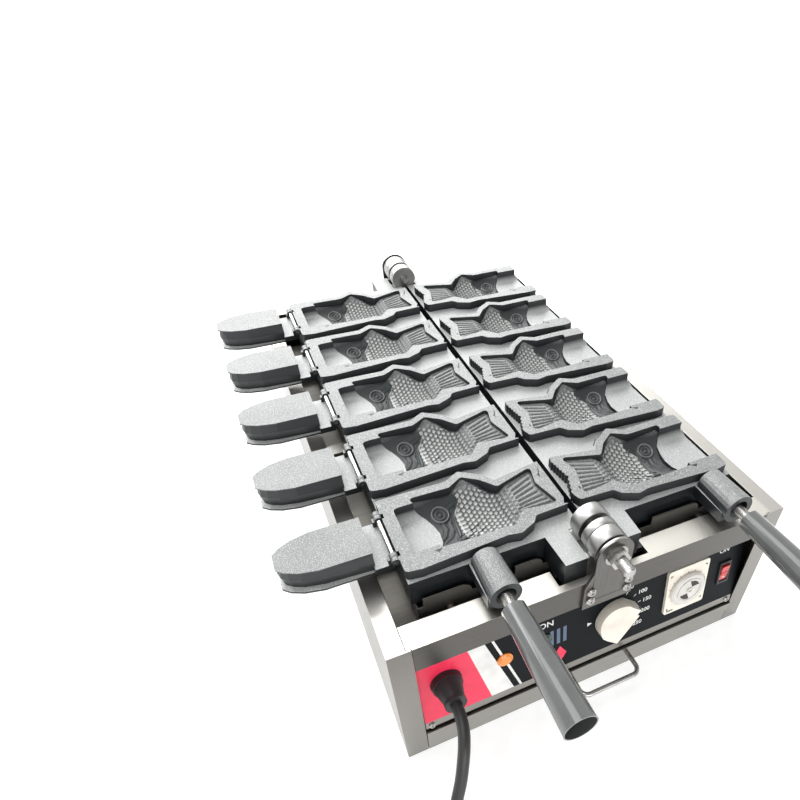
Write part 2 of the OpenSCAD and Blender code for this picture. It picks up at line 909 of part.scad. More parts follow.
// How the cord leaves the panel, falls and runs to the coil, from below the gland's middle.
cord_path = [
  [0, -2.2, 92.8], [0, -16, 94.6], [-0.5, -26, 95.6], [-2.5, -39, 95], [-6.5, -50, 91],
  [-11.5, -59, 82], [-16.5, -66, 71], [-21.5, -71, 60], [-26.5, -76, 49], [-31.5, -80, 37],
  [-36.5, -85, 26], [-43.5, -91, 17], [-51.5, -98, 10], [-60.5, -107, 6], [-70.5, -115, 5.1],
  [-79.5, -124, 5.1], [-89.5, -134, 5.1], [-99.5, -144, 5.1]
];
cord_route = [for (p = cord_path) p + [gland_x, -bd, 0]];

module power_cord() {
  color(black) tube(cord_route, cord_d / 2, 10, [1, -1, 0]);
}

// A flat spiral inwards on the floor, one step up and the same spiral outwards on top,
// then a straight tail to the plug. The coil starts where the route ends.
coil_start = -45;
coil_steps = 24;
coil_out = coil_r + cord_gap * coil_turns;
coil_low = cord_route[len(cord_route) - 1];
coil_mid = coil_low - coil_out * [cos(coil_start), sin(coil_start), 0];
coil_way = [sin(coil_start), -cos(coil_start), 0];
coil_high = coil_low + [0, 0, cord_gap];
function coil_point(t) =
  let (
    r = coil_r + cord_gap * abs(coil_turns - t),
    rise = min(1, max(0, (t - coil_turns + 0.25) / 0.5)),
    a = coil_start - 360 * t
  )
  coil_mid + [r * cos(a), r * sin(a), cord_gap * rise];
coil_turned = [for (i = [0 : 2 * coil_turns * coil_steps]) coil_point(i / coil_steps)];
coil_route = concat(
  [coil_low, coil_low + coil_way * 10],
  [for (i = [1 : len(coil_turned) - 2]) coil_turned[i]],
  [coil_high, coil_high + coil_way * 20, coil_high + coil_way * 40, coil_high + coil_way * tail_l]
);

module cord_coil() {
  color(black) tube(coil_route, cord_d / 2, 6, [0, 0, 1]);
}

// Least gap between stretches of the coil half a turn or more apart, and the lead's length.
coil_gap = min([
  for (i = [0 : len(coil_route) - 1])
    for (j = [i + coil_steps / 2 : 1 : len(coil_route) - 1])
      norm(coil_route[i] - coil_route[j])
]) - cord_d;
function path_length(pts, i = 0) =
  i >= len(pts) - 1 ? 0 : norm(pts[i + 1] - pts[i]) + path_length(pts, i + 1);
echo(coil_gap = coil_gap, lead = path_length(cord_route) + path_length(coil_route));

// Round two-pin earthed plug, lying on the floor in line with the tail.
module plug() {
  color(black) translate(coil_high + coil_way * tail_l) rotate([0, 90, coil_start - 90])
    difference() {
      union() {
        cylinder(h = 18, r1 = 6.5, r2 = 8.5);
        translate([0, 0, 18]) cylinder(h = 8, r1 = 8.5, r2 = plug_r - 1);
        translate([0, 0, 26]) cylinder(h = 22, r1 = plug_r - 1, r2 = plug_r);
        for (s = [-1, 1]) {
          translate([0, s * 9.5, 47]) cylinder(h = 19, r = 2.4);
          translate([0, s * 9.5, 66]) cylinder(h = 1.5, r1 = 2.4, r2 = 1.4);
        }
      }
      for (z = [4 : 4 : 14])
        translate([0, 0, z]) rotate_extrude() translate([8.3, 0]) circle(1.1, $fn = 24);
    }
}

base_pan();
left_side_panel();
right_side_panel();
rear_panel();
front_rail();
control_panel();
panel_brackets();
panel_screws();
heater_tray();
cross_bars();
heat_shield();
heater_rests();
left_heater();
right_heater();
front_hinge_bracket();
rear_hinge_bracket();
bracket_screws();
front_hinge_pin();
rear_hinge_pin();
hinge_nuts();
hinge_washers();
left_mould();
left_knuckles();
left_handle_stud();
left_grip();
core_pins();
right_mould();
right_knuckles();
right_handle_stud();
right_grip();
mouth_core_1();
mouth_core_2();
mouth_core_3();
mouth_core_4();
mouth_core_5();
thermostat_body();
thermostat_knob();
timer_housing();
timer_dial();
switch_housing();
switch_rocker();
ready_lamp();
power_lamp();
crumb_tray();
tray_handle();
tray_runners();
terminal_block();
cable_gland();
strain_relief();
power_cord();
cord_coil();
plug();
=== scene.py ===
"""Looks for the fish waffle cooker: camera, cord, materials, mould relief and panel print."""
import math

import bmesh
import bpy
import numpy as np
from mathutils import Matrix, Vector
from mathutils.geometry import delaunay_2d_cdt


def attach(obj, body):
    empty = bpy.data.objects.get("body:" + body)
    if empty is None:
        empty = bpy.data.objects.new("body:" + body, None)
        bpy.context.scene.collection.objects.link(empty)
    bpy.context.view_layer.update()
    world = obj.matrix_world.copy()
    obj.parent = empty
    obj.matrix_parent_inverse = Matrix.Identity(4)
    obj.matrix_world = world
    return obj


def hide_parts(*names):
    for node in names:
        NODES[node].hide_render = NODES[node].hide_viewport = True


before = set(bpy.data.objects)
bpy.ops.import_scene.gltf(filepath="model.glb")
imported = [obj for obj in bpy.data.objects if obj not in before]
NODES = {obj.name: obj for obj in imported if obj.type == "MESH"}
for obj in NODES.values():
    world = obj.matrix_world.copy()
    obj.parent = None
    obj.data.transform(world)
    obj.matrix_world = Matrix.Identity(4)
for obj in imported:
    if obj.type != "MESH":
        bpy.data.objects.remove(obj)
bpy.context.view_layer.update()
MM = 0.001

# Camera, in metres and degrees, as worked out from the photo. Lens and sensor are in mm.

CAMERA_AT = (-0.2119, -0.5389, 0.5589)
CAMERA_TURN = (46.465, -1.240, -25.455)
LENS = 27.161
SENSOR = 36
SHIFT = (-0.1457, 0.1141)
NEAR = 0.01


def make_camera():
    data = bpy.data.cameras.new("camera")
    data.lens = LENS
    data.sensor_width = SENSOR
    data.shift_x, data.shift_y = SHIFT
    data.clip_start = NEAR
    camera = bpy.data.objects.new("camera", data)
    camera.location = CAMERA_AT
    camera.rotation_euler = [math.radians(a) for a in CAMERA_TURN]
    bpy.context.scene.collection.objects.link(camera)
    bpy.context.scene.camera = camera


make_camera()

# Shared helpers


def link(name, data):
    obj = bpy.data.objects.new(name, data)
    bpy.context.scene.collection.objects.link(obj)
    return obj


def mesh_object(name, verts, faces, smooth=True):
    mesh = bpy.data.meshes.new(name)
    mesh.from_pydata([tuple(v) for v in verts], [], faces)
    mesh.validate()
    mesh.update()
    for p in mesh.polygons:
        p.use_smooth = smooth
    return link(name, mesh)


def own(obj, body, material):
    """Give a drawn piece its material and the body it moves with."""
    obj.data.materials.append(MATERIALS[material])
    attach(obj, body)
    return obj


def prism(name, points, low, high):
    """Closed flat piece from a list of corners given at two levels by functions."""
    n = len(points)
    verts = [low(*q) for q in points] + [high(*q) for q in points]
    faces = [tuple(reversed(range(n))), tuple(range(n, 2 * n))]
    faces += [(i, (i + 1) % n, n + (i + 1) % n, n + i) for i in range(n)]
    return mesh_object(name, verts, faces, False)


def join(name, pieces):
    """One mesh from several drawn pieces."""
    verts, faces = [], []
    for piece in pieces:
        first = len(verts)
        verts += [piece.matrix_world @ v.co for v in piece.data.vertices]
        faces += [tuple(first + i for i in f.vertices) for f in piece.data.polygons]
        data = piece.data
        bpy.data.objects.remove(piece)
        bpy.data.meshes.remove(data)
    return mesh_object(name, verts, faces, False)


def level(z):
    """Puts a point of a flat outline at the height z, all in mm."""
    return lambda a, b: (a * MM, b * MM, z * MM)


def step(lo, hi, v):
    """Smooth rise from 0 at lo to 1 at hi."""
    t = np.clip((v - lo) / (hi - lo), 0, 1)
    return t * t * (3 - 2 * t)


def box(x0, y0, x1, y1):
    """Corners of an upright rectangle."""
    return [(x0, y0), (x1, y0), (x1, y1), (x0, y1)]


# Materials


class Shader:
    """One procedural material, built from object coordinates in metres."""

    def __init__(self, name, color, rough, metal=0.0):
        self.mat = bpy.data.materials.new(name)
        self.mat.use_nodes = True
        self.nodes = self.mat.node_tree.nodes
        self.links = self.mat.node_tree.links
        self.bsdf = self.nodes["Principled BSDF"]
        self.bsdf.inputs["Base Color"].default_value = (*color, 1)
        self.bsdf.inputs["Roughness"].default_value = rough
        self.bsdf.inputs["Metallic"].default_value = metal
        self.coords = self.nodes.new("ShaderNodeTexCoord")
        self.height = None

    def set(self, **values):
        for key, value in values.items():
            self.bsdf.inputs[key.replace("_", " ")].default_value = value
        return self

    def component(self, kind, axis):
        """One axis of the object's own coordinates or of its normal."""
        node = self.nodes.new("ShaderNodeSeparateXYZ")
        self.links.new(self.coords.outputs[kind], node.inputs[0])
        return node.outputs[axis]

    def noise(self, scale, detail=3.0, stretch=(1, 1, 1), rough=0.5):
        mapping = self.nodes.new("ShaderNodeMapping")
        mapping.inputs["Scale"].default_value = stretch
        tex = self.nodes.new("ShaderNodeTexNoise")
        tex.inputs["Scale"].default_value = scale
        tex.inputs["Detail"].default_value = detail
        tex.inputs["Roughness"].default_value = rough
        self.links.new(self.coords.outputs["Object"], mapping.inputs["Vector"])
        self.links.new(mapping.outputs["Vector"], tex.inputs["Vector"])
        return tex.outputs["Fac"]

    def ramp(self, fac, stops):
        node = self.nodes.new("ShaderNodeValToRGB")
        ends = node.color_ramp.elements
        while len(ends) < len(stops):
            ends.new(0.5)
        for end, (at, value) in zip(ends, stops):
            end.position = at
            end.color = value if len(value) == 4 else (*value, 1)
        self.links.new(fac, node.inputs["Fac"])
        return node.outputs["Color"]

    def paint(self, color):
        self.links.new(color, self.bsdf.inputs["Base Color"])
        return self

    def tint(self, fac, stops):
        """Colour that follows a texture between the given stops."""
        return self.paint(self.ramp(fac, stops))

    def mix_color(self, fac, a, b):
        node = self.nodes.new("ShaderNodeMix")
        node.data_type = "RGBA"
        self.links.new(fac, node.inputs["Factor"])
        for socket, value in ((node.inputs[6], a), (node.inputs[7], b)):
            if isinstance(value, tuple):
                socket.default_value = (*value, 1)
            else:
                self.links.new(value, socket)
        return node.outputs[2]

    def vary_rough(self, fac, low, high):
        node = self.nodes.new("ShaderNodeMapRange")
        node.inputs["To Min"].default_value = low
        node.inputs["To Max"].default_value = high
        self.links.new(fac, node.inputs["Value"])
        self.links.new(node.outputs["Result"], self.bsdf.inputs["Roughness"])
        return self

    def bump(self, fac, strength, distance):
        node = self.nodes.new("ShaderNodeBump")
        node.inputs["Strength"].default_value = strength
        node.inputs["Distance"].default_value = distance
        self.links.new(fac, node.inputs["Height"])
        if self.height is not None:
            self.links.new(self.height, node.inputs["Normal"])
        self.height = node.outputs["Normal"]
        self.links.new(self.height, self.bsdf.inputs["Normal"])
        return self


BLACK = (0, 0, 0)
WHITE = (1, 1, 1)
BRUSH_ACROSS = 90
BRUSH_ALONG = 1.5


def brushed(name, along, color=(0.33, 0.32, 0.295), rough=0.27, top=None):
    """Brushed stainless sheet whose fine lines run along one axis. Its upper faces may be
    brighter, a painted highlight."""
    stretch = [BRUSH_ACROSS] * 3
    stretch[along] = BRUSH_ALONG
    s = Shader(name, color, rough, metal=1.0)
    lines = s.noise(14, 4, tuple(stretch), 0.65)
    light = tuple(min(1, c * 1.1) for c in color)
    dark = tuple(c * 0.86 for c in color)
    sheet = s.ramp(lines, [(0.3, dark), (0.7, light)])
    # Painted highlight: faces turned up take the brighter top colour.
    if top:
        up = s.ramp(s.component("Normal", "Z"), [(0.4, BLACK), (0.8, WHITE)])
        sheet = s.mix_color(up, sheet, top)
    s.paint(sheet)
    s.vary_rough(s.noise(9, 3), rough - 0.05, rough + 0.1)
    s.bump(lines, 0.12, 0.0002)
    return s.mat


def bright_metal(name, color=(0.60, 0.59, 0.57), rough=0.24, lines=2400):
    """Turned or ground steel with faint tool marks and a few darker patches."""
    s = Shader(name, color, rough, metal=1.0)
    marks = s.noise(lines, 2, (1, 3, 1))
    patch = s.noise(70, 4)
    s.tint(patch, [(0.35, tuple(c * 0.8 for c in color)), (0.65, color)])
    s.vary_rough(marks, rough - 0.06, rough + 0.12)
    s.bump(marks, 0.08, 0.00004)
    return s.mat


def moulded(name, color, rough, grain=900, coat=0.0, shine=0.5):
    """Moulded plastic or rubber with a slight grain and a little colour drift."""
    s = Shader(name, color, rough)
    dark = tuple(c * 0.9 for c in color)
    light = tuple(min(1, c * 1.06) for c in color)
    s.tint(s.noise(60, 3), [(0.35, dark), (0.65, light)])
    fine = s.noise(grain, 3)
    s.vary_rough(fine, max(0.03, rough - 0.05), rough + 0.07)
    s.bump(fine, 0.12, 0.0001)
    s.set(Coat_Weight=coat, Coat_Roughness=0.08, Specular_IOR_Level=shine)
    return s.mat


# The non-stick coat, with painted light and shade: nearly black sides are painted shade, greyer
# tops with a light speckle are painted light, and the web and passage between the rims are painted
# bright against their shade. The carved floors are painted dark as shade, with painted highlights
# on the scales. Heights are in metres.
# Painted shade: the sides' colours, low down and on the rims
COAT_LOW_SIDE_SHADE = (0.010, 0.013, 0.015)
COAT_RIM_SIDE_SHADE = (0.026, 0.031, 0.033)
# Painted light: the tops' colours, mottled between these two greys
COAT_LIT_TOPS = ((0.145, 0.155, 0.153), (0.195, 0.205, 0.202))
COAT_SPECK = (0.46, 0.47, 0.46)
# Painted light: the web and passage between the rims, painted bright against their shade, with a
# lighter speckle
COAT_LIT_WEB = (0.36, 0.375, 0.372)
COAT_LIT_WEB_SPECK = (0.62, 0.63, 0.62)
# Painted shade: the carved floors' hollows
COAT_HOLLOW_SHADE = (0.034, 0.040, 0.041)
# Painted highlight: the carving's raised scales and lines
COAT_PAINTED_GLINT = (0.55, 0.56, 0.55)
# Heights over which the casting turns from its painted-bright web to its rims, and the carving from
# its painted hollow shade to its tops
RIM_FADE = (0.188, 0.194)
CARVING_FADE = (0.1862, 0.1900)


def coated_casting(name, fade=RIM_FADE, carved=False):
    """Coat of a casting, whose colour changes between the two heights of fade, with painted light
    on the faces turned up and painted shade on the others.
    """
    s = Shader(name, (0.08, 0.085, 0.085), 0.4)
    speck = s.noise(1300, 2, rough=0.6)
    flecks = s.ramp(speck, [(0.52, BLACK), (0.66, WHITE)])
    # Painted light and shade: faces turned up take the lit colours of the tops, the rest the shaded
    # colours of the sides
    up = s.ramp(s.component("Normal", "Z"), [(0.25, BLACK), (0.85, WHITE)])
    height = s.nodes.new("ShaderNodeMapRange")
    height.inputs["From Min"].default_value, height.inputs["From Max"].default_value = fade
    s.links.new(s.component("Object", "Z"), height.inputs["Value"])
    high = height.outputs["Result"]
    # Painted highlights over painted hollow shade on the carving
    if carved:
        painted_glint = s.nodes.new("ShaderNodeAttribute")
        painted_glint.attribute_name = "painted_glint"
        low_tops = s.mix_color(painted_glint.outputs["Fac"], COAT_HOLLOW_SHADE, COAT_PAINTED_GLINT)
    else:
        # Painted light on the web between the rims
        low_tops = s.mix_color(flecks, COAT_LIT_WEB, COAT_LIT_WEB_SPECK)
    mottled_lit_tops = s.ramp(s.noise(24, 4), [(0.3, COAT_LIT_TOPS[0]), (0.7, COAT_LIT_TOPS[1])])
    tops = s.mix_color(high, low_tops, s.mix_color(flecks, mottled_lit_tops, COAT_SPECK))
    s.paint(s.mix_color(up, s.mix_color(high, COAT_LOW_SIDE_SHADE, COAT_RIM_SIDE_SHADE), tops))
    s.vary_rough(speck, 0.34, 0.48)
    s.bump(s.noise(900, 3), 0.3, 0.0003)
    s.set(IOR=1.5)
    return s.mat


MATERIALS = {
    "steel_x": brushed("steel_x", 0),
    # Painted highlight: the last colour of steel_y, steel_rail and steel_bracket is laid on their
    # upper faces.
    "steel_y": brushed("steel_y", 1, (0.28, 0.27, 0.25), 0.27, (0.6, 0.585, 0.55)),
    "steel_rail": brushed("steel_rail", 0, (0.135, 0.13, 0.12), 0.32, (0.78, 0.76, 0.70)),
    "steel_bracket": brushed("steel_bracket", 2, (0.17, 0.165, 0.155), 0.3, (0.4, 0.39, 0.37)),
    "steel_dull": brushed("steel_dull", 0, (0.27, 0.26, 0.235), 0.42),
    "bright": bright_metal("bright"),
    "cast_bright": bright_metal("cast_bright", (0.42, 0.42, 0.41), 0.36, 1300),
    "heater": bright_metal("heater", (0.32, 0.28, 0.25), 0.4, 200),
    "casting": coated_casting("casting"),
    "carving": coated_casting("carving", CARVING_FADE, carved=True),
    "grip": moulded("grip", (0.085, 0.09, 0.09), 0.18, 500, coat=1.0),
    "print_black": moulded("print_black", (0.004, 0.006, 0.008), 0.5, 1600, shine=0.12),
    "black": moulded("black", (0.02, 0.02, 0.022), 0.45),
    "beige": moulded("beige", (0.93, 0.87, 0.76), 0.38, 700),
    "dial": moulded("dial", (0.72, 0.70, 0.66), 0.25, 900, coat=0.5),
    "ink": moulded("ink", (0.015, 0.015, 0.015), 0.4, 1500),
    "print_white": moulded("print_white", (0.86, 0.86, 0.84), 0.35, 1500),
    "print_red": moulded("print_red", (0.98, 0.035, 0.10), 0.4, 1500),
    "print_blue": moulded("print_blue", (0.10, 0.15, 0.24), 0.35, 1500),
    "red": moulded("red", (0.62, 0.03, 0.03), 0.3, 800, coat=0.3),
    "amber": moulded("amber", (0.9, 0.27, 0.03), 0.2, 500, coat=0.6),
    "green": moulded("green", (0.012, 0.05, 0.02), 0.2, 500, coat=0.6),
    "rubber": moulded("rubber", (0.028, 0.028, 0.03), 0.42, 1400),
}

FINISH = {
    "steel_rail": ["front_rail"],
    "steel_x": ["base_pan", "rear_panel", "crumb_tray", "cross_bars", "panel_brackets"],
    "steel_y": ["left_side_panel", "right_side_panel", "tray_runners"],
    "steel_dull": ["heater_tray", "heat_shield", "heater_rests"],
    "steel_bracket": ["front_hinge_bracket", "rear_hinge_bracket"],
    "cast_bright": ["left_knuckles", "right_knuckles"],
    "bright": ["bracket_screws", "front_hinge_pin", "rear_hinge_pin", "hinge_nuts", "core_pins",
               "left_handle_stud", "right_handle_stud", "panel_screws", "tray_handle"],
    "heater": ["left_heater", "right_heater"],
    "casting": ["mouth_core_%d" % k for k in range(1, 6)],
    "grip": ["left_grip", "right_grip"],
    "print_black": ["control_panel"],
    "black": ["hinge_washers", "thermostat_body", "switch_housing", "terminal_block"],
    "beige": ["thermostat_knob", "timer_housing"],
    "dial": ["timer_dial"],
    "red": ["switch_rocker"],
    "amber": ["ready_lamp"],
    "green": ["power_lamp"],
    "rubber": ["cable_gland", "strain_relief", "plug"],
}

# Radius in mm of the small rounds on each solid's edges
SOFT_EDGES = {
    0.4: ["left_side_panel", "right_side_panel", "front_rail", "rear_panel", "front_hinge_bracket",
          "rear_hinge_bracket"],
    0.8: ["timer_housing", "left_knuckles", "right_knuckles"],
    1.2: ["mouth_core_%d" % k for k in range(1, 6)] + ["thermostat_knob"],
}


WELD = 0.00002
SHARP = math.radians(35)


def soften(obj, width):
    """Small round on every sharp edge, as pressed, cast and moulded pieces have."""
    weld = obj.modifiers.new("weld", "WELD")
    weld.merge_threshold = WELD
    bevel = obj.modifiers.new("round", "BEVEL")
    bevel.width = width * MM
    bevel.segments = 2
    bevel.limit_method = "ANGLE"
    bevel.angle_limit = SHARP


def dress_cad():
    """Materials and soft edges of the solids that stay visible."""
    for key, names in FINISH.items():
        for name in names:
            obj = NODES[name]
            obj.data.materials.clear()
            obj.data.materials.append(MATERIALS[key])
    for width, names in SOFT_EDGES.items():
        for name in names:
            soften(NODES[name], width)


# Power cord, first the free stretch and then the coil, in metres

CORD_D = 0.010
COIL_R = 0.049
COIL_GAP = 0.0106
COIL_TURNS = 2
COIL_START = math.radians(-45)
COIL_STEPS = 48
TAIL = 0.062
CORD_ROUTE = [
    (-0.1455, -0.2942, 0.0928), (-0.1455, -0.3080, 0.0946), (-0.1460, -0.3180, 0.0956),
    (-0.1480, -0.3310, 0.0950), (-0.1520, -0.3420, 0.0910), (-0.1570, -0.3510, 0.0820),
    (-0.1620, -0.3580, 0.0710), (-0.1670, -0.3630, 0.0600), (-0.1720, -0.3680, 0.0490),
    (-0.1770, -0.3720, 0.0370), (-0.1820, -0.3770, 0.0260), (-0.1890, -0.3830, 0.0170),
    (-0.1970, -0.3900, 0.0100), (-0.2060, -0.3990, 0.0060), (-0.2160, -0.4070, 0.0051),
    (-0.2250, -0.4160, 0.0051), (-0.2350, -0.4260, 0.0051), (-0.2450, -0.4360, 0.0051),
]


def coil_points():
    """The spiral inwards on the floor, the step up, the spiral outwards, and the tail."""
    low = Vector(CORD_ROUTE[-1])
    out = COIL_R + COIL_GAP * COIL_TURNS
    mid = low - out * Vector((math.cos(COIL_START), math.sin(COIL_START), 0))
    way = Vector((math.sin(COIL_START), -math.cos(COIL_START), 0))
    points = []
    for i in range(1, 2 * COIL_TURNS * COIL_STEPS):
        t = i / COIL_STEPS
        r = COIL_R + COIL_GAP * abs(COIL_TURNS - t)
        rise = step(COIL_TURNS - 0.25, COIL_TURNS + 0.25, t)
        a = COIL_START - math.tau * t
        points.append(mid + Vector((r * math.cos(a), r * math.sin(a), COIL_GAP * rise)))
    high = low + Vector((0, 0, COIL_GAP))
    return points + [high + way * TAIL * k / 4 for k in range(5)]


def smooth_route(points, steps=5):
    """Catmull-Rom curve through the given points."""
    p = [Vector(q) for q in points]
    p = [2 * p[0] - p[1]] + p + [2 * p[-1] - p[-2]]
    out = []
    for i in range(1, len(p) - 2):
        for k in range(steps):
            t = k / steps
            a, b, c, d = p[i - 1:i + 3]
            out.append(0.5 * (2 * b + (c - a) * t + (2 * a - 5 * b + 4 * c - d) * t * t
                              + (3 * b - a - 3 * c + d) * t ** 3))
    return out + [p[-2]]


def make_cord():
    """Lead with its coil, in place of the cord's solids."""
    points = smooth_route(CORD_ROUTE) + coil_points()
    curve = bpy.data.curves.new("power_lead", "CURVE")
    curve.dimensions = "3D"
    spline = curve.splines.new("POLY")
    spline.points.add(len(points) - 1)
    for at, p in zip(spline.points, points):
        at.co = (*p, 1)
    curve.bevel_depth = CORD_D / 2
    curve.bevel_resolution = 6
    curve.use_fill_caps = True
    lead = link("power_lead", curve)
    lead.data.materials.append(MATERIALS["rubber"])
    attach(lead, "base")
    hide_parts("power_cord", "cord_coil")


# Mould relief. Cell coordinates in mm, as in the source: x from the hinge line, y from the near
# edge of the cell, z above the worktop.

PITCH = 98.0
FISH_N = 5
ROW_Y = -2.475 * PITCH
HINGE_Z = 196.0
WEB_Z = 186.0
RIM_Z = 195.85
TAIL_Z = 190.0
FISH = [(15.7, 69.8), (20.5, 49), (13.2, 21.1), (18.6, 19.1), (45.1, 23.3), (57.8, 9.3),
        (64.7, 10.6), (92.1, 10.3), (125, 11.8), (145.2, 15.2), (145.2, 67.6), (128.6, 69.4),
        (128.6, 74.9), (93.1, 74), (78.4, 82.4), (64.4, 72.2), (53.4, 58.2)]
LIP = [(121.6, 13), (121, 17), (118.6, 22), (116.4, 28), (115.3, 34), (115.2, 40), (116.4, 46),
       (117.8, 51), (120, 58), (124, 64.5), (128.2, 70.2)]
# Middle of the bowed floor, its radius across the fish, its radius along it and its centre's z
BOWL_MID = (92, 42)
BOWL_ACROSS = 60
BOWL_ALONG = 190
BOWL_TOP = 426
# First scale, spacing of the rows and of the scales in a row, their counts and their radius
SCALE_START = (46, 8.5)
SCALE_PITCH = 4.1
SCALE_STEP = 4.9
SCALE_ROWS = 12
SCALES_PER_ROW = 15
SCALE_R = 3.4
# Eye: its middle, its lid's soft edge, and the radius, height and half width of its rings
EYE = (107.0, 59.5)
EYE_LID = (8.6, 9.4)
EYE_RINGS = [(7.3, 1.9, 0.9), (4.2, 1.5, 0.8), (0, 1.7, 1.6)]
# Carved lines, the gills each with its height and half width
GILLS = [([(86.2, 68.6), (91.7, 60.6), (96, 55.7), (97.4, 46.2), (98.1, 36.7), (99.9, 27.9)],
          1.2, 1.1),
         ([(101.3, 51.3), (101.5, 41.5), (105.7, 33.7), (113.6, 27.8)], 0.6, 0.8),
         ([(107.4, 50.7), (106.5, 43.7), (110.6, 35.9), (115, 32.3)], 0.6, 0.8),
         ([(92.8, 66), (99, 63.5), (99.2, 57), (99.6, 50)], 0.5, 0.8)]
SCALE_EDGE = [(90, 76.7), (85.3, 76.7), (77.8, 77), (70.1, 74.5), (64.1, 68.1), (55.3, 65.1),
              (48.3, 63.8), (45.5, 58.9), (43, 50.5), (43.3, 41.9), (42.5, 34), (49, 26), (52, 18)]
FIN_TOP = [(101.9, 28.4), (93.3, 32.5), (85.1, 35.3), (77.9, 37)]
FIN_BOTTOM = [(101, 24.8), (93.6, 26.2), (83.5, 28), (74.8, 29)]
TAIL_RAYS = [((47.2, 55.4), (18.5, 67.6)), ((46.1, 49.6), (21, 60)), ((45.8, 45), (22.5, 53.5)),
             ((45.4, 40.5), (22.9, 47.5)), ((45.6, 36.2), (21.6, 41.5)), ((45.8, 32), (19, 36)),
             ((46.6, 29), (16.6, 30.5)), ((47.8, 25.3), (15.5, 25))]
RAY_HALF = 1.05
BELLY_COMB = [((41.8, 32.1), (38.8, 28.6)), ((45.9, 28.8), (43, 25.4)),
              ((49.9, 25.6), (47, 22.2)),
              ((53.8, 22.4), (51, 19)), ((57, 19), (54.6, 15.8))]
# Where the head and the tail's root begin: x against y. Where the back's fin begins: y against x
HEAD_LINE = ([10, 28, 37, 46, 56, 61, 69, 84], [101, 99.9, 98, 97.4, 96, 91.7, 86, 80])
ROOT_LINE = ([10, 19, 26, 34, 42, 51, 59, 64, 70], [56, 51, 46.5, 43, 43.3, 43, 45.5, 48.3, 60])
BACK_LINE = ([46, 55, 64, 70, 78, 90], [63, 65, 68, 74.5, 77, 77])
# Inlay: its grid and how far that keeps from the outline, the fillet along the wall, where the
# carving fades out before the wall, where the tail's flat floor turns into the bowl, the least
# cover over the solid's floor and the flat underside
GRID = 0.7
GRID_X, GRID_Y = (13, 130), (8, 84)
GRID_CLEAR = 0.55
FILLET = 1.5
CALM = (0.3, 1.8)
TAIL_TO_BOWL = (43, 62)
COVER = 0.25
INLAY_BOTTOM = 173.5


def rounded(points, r, steps):
    """The source's rounding of every corner of an outline."""
    out = []
    n = len(points)
    for i in range(n):
        p = np.array(points[i], float)
        a = np.array(points[i - 1], float) - p
        b = np.array(points[(i + 1) % n], float) - p
        ua, ub = a / np.linalg.norm(a), b / np.linalg.norm(b)
        half = math.acos(float(np.clip(ua @ ub, -1, 1))) / 2
        reach = min(r / math.tan(half), np.linalg.norm(a) * 0.45, np.linalg.norm(b) * 0.45)
        rr = reach * math.tan(half)
        mid = (ua + ub) / np.linalg.norm(ua + ub)
        c = p + mid * (rr / math.sin(half))
        p0, p1 = p + ua * reach - c, p + ub * reach - c
        sweep = math.pi - 2 * half
        turn = 1 if p0[0] * p1[1] - p0[1] * p1[0] > 0 else -1
        for k in range(steps + 1):
            t = turn * sweep * k / steps
            out.append((c[0] + p0[0] * math.cos(t) - p0[1] * math.sin(t),
                        c[1] + p0[0] * math.sin(t) + p0[1] * math.cos(t)))
    return out


def resample(points, gap):
    """The same closed outline with corners about a gap apart."""
    out = []
    for i, p in enumerate(points):
        q = points[(i + 1) % len(points)]
        n = max(1, round(math.dist(p, q) / gap))
        out += [(p[0] + (q[0] - p[0]) * k / n, p[1] + (q[1] - p[1]) * k / n) for k in range(n)]
    return out


def segment_distance(x, y, points, closed=False):
    """Distance from every (x, y) to a polyline."""
    best = np.full(x.shape, 1e9)
    count = len(points) if closed else len(points) - 1
    for i in range(count):
        ax, ay = points[i]
        bx, by = points[(i + 1) % len(points)]
        dx, dy = bx - ax, by - ay
        t = np.clip(((x - ax) * dx + (y - ay) * dy) / (dx * dx + dy * dy + 1e-12), 0, 1)
        best = np.minimum(best, np.hypot(x - ax - t * dx, y - ay - t * dy))
    return best


def inside(x, y, points):
    """Which (x, y) lie inside a polygon."""
    hit = np.zeros(x.shape, bool)
    for i in range(len(points)):
        (ax, ay), (bx, by) = points[i], points[(i + 1) % len(points)]
        cross = (ay > y) != (by > y)
        hit ^= cross & (x < (bx - ax) * (y - ay) / (by - ay + 1e-12) + ax)
    return hit


def gauss(d, width):
    """Bell curve of a distance."""
    return np.exp(-((d / width) ** 2))


def bowl(x, y):
    """Height of the cavity's bowed floor."""
    r = BOWL_ALONG + np.sqrt(np.maximum(0, BOWL_ACROSS ** 2 - (y - BOWL_MID[1]) ** 2))
    return BOWL_TOP - np.sqrt(np.maximum(0, r * r - (x - BOWL_MID[0]) ** 2))


def scale_rows(x, y):
    """Overlapping round scales, each row set half a scale against the last."""
    h = np.zeros(x.shape)
    for i in range(SCALE_ROWS):
        cx = SCALE_START[0] + SCALE_PITCH * i
        for j in range(SCALES_PER_ROW):
            cy = SCALE_START[1] + SCALE_STEP * (j + 0.5 * (i % 2))
            d = np.hypot((x - cx) / 1.15, y - cy)
            scale = 0.1 + 1.9 * (d / SCALE_R) ** 2 * (x < cx + 2.2)
            h = np.where(d < SCALE_R, scale, h)
    return h


